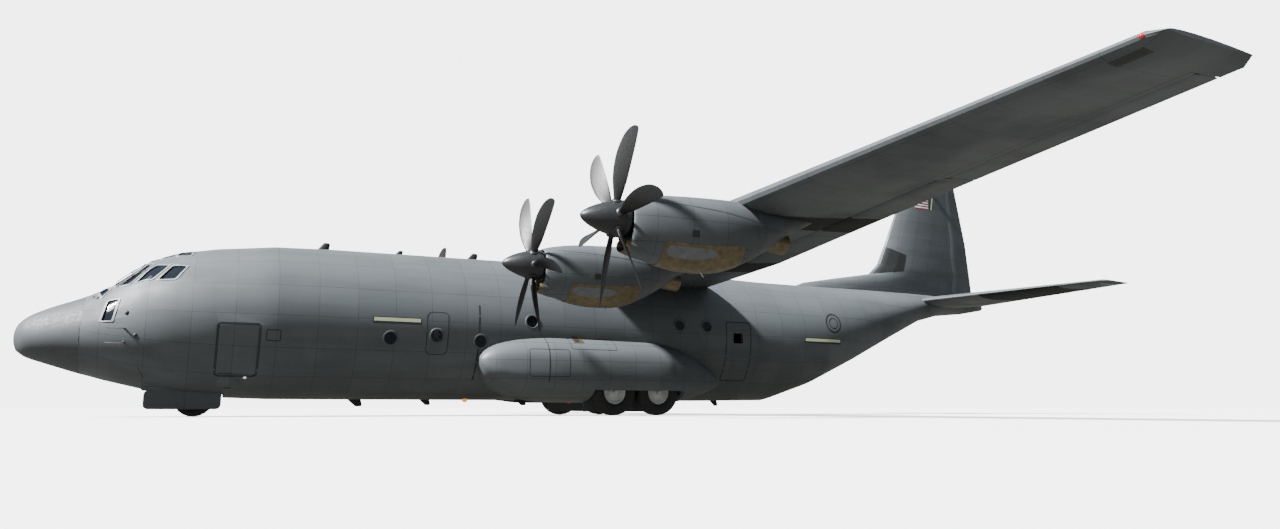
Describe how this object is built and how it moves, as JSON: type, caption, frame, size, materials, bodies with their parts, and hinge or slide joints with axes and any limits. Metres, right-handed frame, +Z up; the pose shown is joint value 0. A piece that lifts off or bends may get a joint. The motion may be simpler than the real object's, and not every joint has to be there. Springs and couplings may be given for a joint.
{
  "type": "military transport plane",
  "caption": "High-wing military transport plane with turboprops, load bay with rear ramp, hinged control surfaces and wheeled gear, as a half-size scale model",
  "frame": {"origin": "on the floor under the middle of the plane's box, halfway between nose tip and tail tip", "axes": "+Z up, +Y to starboard along the span, -X to the nose"},
  "size_m": [17.185, 20.205, 5.92],
  "materials": {
    "airframe_grey": "matt blue-grey paint",
    "inner_skin": "pale primer",
    "radome_grey": "matt blue-grey paint",
    "engine_steel": "bare metal",
    "gear_steel": "satin pale grey",
    "blade_black": "matt dark paint",
    "tyre_black": "matt rubber",
    "seat_grey": "woven",
    "panel_dark": "matt",
    "window_glass": "clear"
  },
  "bodies": {
    "airframe": {"cargo_floor": "inner_skin", "cockpit_glass": "window_glass", "cockpit_section": "airframe_grey", "engine_port_inner": "engine_steel", "engine_port_outer": "engine_steel", "engine_starboard_inner": "engine_steel", "engine_starboard_outer": "engine_steel", "fin": "airframe_grey", "flight_deck": "inner_skin", "gear_pod_port": "airframe_grey", "gear_pod_starboard": "airframe_grey", "instrument_panel": "panel_dark", "main_barrel": "airframe_grey", "main_gear_door_port": "airframe_grey", "main_gear_door_starboard": "airframe_grey", "main_gear_frame_port": "gear_steel", "main_gear_frame_starboard": "gear_steel", "nacelle_port_inner": "airframe_grey", "nacelle_port_outer": "airframe_grey", "nacelle_starboard_inner": "airframe_grey", "nacelle_starboard_outer": "airframe_grey", "nose_gear_bay": "inner_skin", "nose_gear_door_port": "airframe_grey", "nose_gear_door_starboard": "airframe_grey", "nose_radome": "radome_grey", "nose_strut": "gear_steel", "paratroop_door_port": "airframe_grey", "paratroop_door_starboard": "airframe_grey", "seat_port": "seat_grey", "seat_starboard": "seat_grey", "stabiliser": "airframe_grey", "tail_section": "airframe_grey", "wing_centre": "airframe_grey", "wing_outer_port": "airframe_grey", "wing_outer_starboard": "airframe_grey"},
    "propeller_port_inner": {"propeller_port_inner": "blade_black"},
    "propeller_port_outer": {"propeller_port_outer": "blade_black"},
    "main_wheel_port_front": {"main_wheel_port_front": "tyre_black"},
    "main_wheel_port_rear": {"main_wheel_port_rear": "tyre_black"},
    "flap_inner_port": {"flap_inner_port": "airframe_grey"},
    "flap_outer_port": {"flap_outer_port": "airframe_grey"},
    "aileron_port": {"aileron_port": "airframe_grey"},
    "propeller_starboard_inner": {"propeller_starboard_inner": "blade_black"},
    "propeller_starboard_outer": {"propeller_starboard_outer": "blade_black"},
    "main_wheel_starboard_front": {"main_wheel_starboard_front": "tyre_black"},
    "main_wheel_starboard_rear": {"main_wheel_starboard_rear": "tyre_black"},
    "flap_inner_starboard": {"flap_inner_starboard": "airframe_grey"},
    "flap_outer_starboard": {"flap_outer_starboard": "airframe_grey"},
    "aileron_starboard": {"aileron_starboard": "airframe_grey"},
    "nose_fork": {"nose_fork": "gear_steel"},
    "nose_wheels": {"nose_wheel_port": "tyre_black", "nose_wheel_starboard": "tyre_black"},
    "crew_door": {"crew_door": "airframe_grey"},
    "cargo_ramp": {"cargo_ramp": "airframe_grey"},
    "cargo_door": {"cargo_door": "airframe_grey"},
    "rudder": {"rudder": "airframe_grey"},
    "elevators": {"elevator_port": "airframe_grey", "elevator_starboard": "airframe_grey"}
  },
  "joints": [
    {"name": "propeller_port_inner_spin", "type": "hinge", "parent": "airframe", "child": "propeller_port_inner", "pos_m": [-2.5975, -2.475, 2.02], "axis": [1, 0, 0], "continuous": true},
    {"name": "propeller_port_outer_spin", "type": "hinge", "parent": "airframe", "child": "propeller_port_outer", "pos_m": [-2.5975, -5.08, 2.15], "axis": [1, 0, 0], "continuous": true},
    {"name": "propeller_starboard_inner_spin", "type": "hinge", "parent": "airframe", "child": "propeller_starboard_inner", "pos_m": [-2.5975, 2.475, 2.02], "axis": [1, 0, 0], "continuous": true},
    {"name": "propeller_starboard_outer_spin", "type": "hinge", "parent": "airframe", "child": "propeller_starboard_outer", "pos_m": [-2.5975, 5.08, 2.15], "axis": [1, 0, 0], "continuous": true},
    {"name": "main_wheel_port_front_spin", "type": "hinge", "parent": "airframe", "child": "main_wheel_port_front", "pos_m": [-0.7175, -1.0875, 0.355], "axis": [0, 1, 0], "continuous": true},
    {"name": "main_wheel_port_rear_spin", "type": "hinge", "parent": "airframe", "child": "main_wheel_port_rear", "pos_m": [0.0425, -1.0875, 0.355], "axis": [0, 1, 0], "continuous": true},
    {"name": "main_wheel_starboard_front_spin", "type": "hinge", "parent": "airframe", "child": "main_wheel_starboard_front", "pos_m": [-0.7175, 1.0875, 0.355], "axis": [0, 1, 0], "continuous": true},
    {"name": "main_wheel_starboard_rear_spin", "type": "hinge", "parent": "airframe", "child": "main_wheel_starboard_rear", "pos_m": [0.0425, 1.0875, 0.355], "axis": [0, 1, 0], "continuous": true},
    {"name": "nose_steering", "type": "hinge", "parent": "airframe", "child": "nose_fork", "pos_m": [-6.4975, 0, 0.2475], "axis": [0, 0, 1], "range_deg": [-60, 60]},
    {"name": "nose_wheels_spin", "type": "hinge", "parent": "nose_fork", "child": "nose_wheels", "pos_m": [-6.4975, 0, 0.2475], "axis": [0, 1, 0], "continuous": true},
    {"name": "crew_door_swing", "type": "hinge", "parent": "airframe", "child": "crew_door", "pos_m": [-6.0425, -0.789, 0.55], "axis": [1, 0, 0], "range_deg": [0, 110]},
    {"name": "cargo_ramp_lower", "type": "hinge", "parent": "airframe", "child": "cargo_ramp", "pos_m": [2.9135, 0, 0.33], "axis": [0, 1, 0], "range_deg": [0, 32]},
    {"name": "cargo_door_raise", "type": "hinge", "parent": "airframe", "child": "cargo_door", "pos_m": [6.3575, 0, 1.86], "axis": [0, 1, 0], "range_deg": [0, 28]},
    {"name": "flap_inner_port_lower", "type": "hinge", "parent": "airframe", "child": "flap_inner_port", "pos_m": [0.67109, -2.835, 1.72378], "axis": [0, 1, 0], "range_deg": [0, 35]},
    {"name": "flap_outer_port_lower", "type": "hinge", "parent": "airframe", "child": "flap_outer_port", "pos_m": [0.42158, -5.735, 1.8504], "axis": [0, 1, 0], "range_deg": [0, 35]},
    {"name": "flap_inner_starboard_lower", "type": "hinge", "parent": "airframe", "child": "flap_inner_starboard", "pos_m": [0.67109, 2.835, 1.72378], "axis": [0, 1, 0], "range_deg": [0, 35]},
    {"name": "flap_outer_starboard_lower", "type": "hinge", "parent": "airframe", "child": "flap_outer_starboard", "pos_m": [0.42158, 5.735, 1.8504], "axis": [0, 1, 0], "range_deg": [0, 35]},
    {"name": "aileron_port_tilt", "type": "hinge", "parent": "airframe", "child": "aileron_port", "pos_m": [0.19185, -8.405, 2.60594], "axis": [0.0856, 0.9953, -0.0458], "range_deg": [-25, 15]},
    {"name": "aileron_starboard_tilt", "type": "hinge", "parent": "airframe", "child": "aileron_starboard", "pos_m": [0.19185, 8.405, 2.60594], "axis": [-0.0856, 0.9953, 0.0458], "range_deg": [-25, 15]},
    {"name": "elevator_tilt", "type": "hinge", "parent": "airframe", "child": "elevators", "pos_m": [7.5975, 0, 2.25], "axis": [0, 1, 0], "range_deg": [-40, 20]},
    {"name": "rudder_turn", "type": "hinge", "parent": "airframe", "child": "rudder", "pos_m": [7.7525, 0, 3.995], "axis": [0, 0, 1], "range_deg": [-35, 35]}
  ]
}
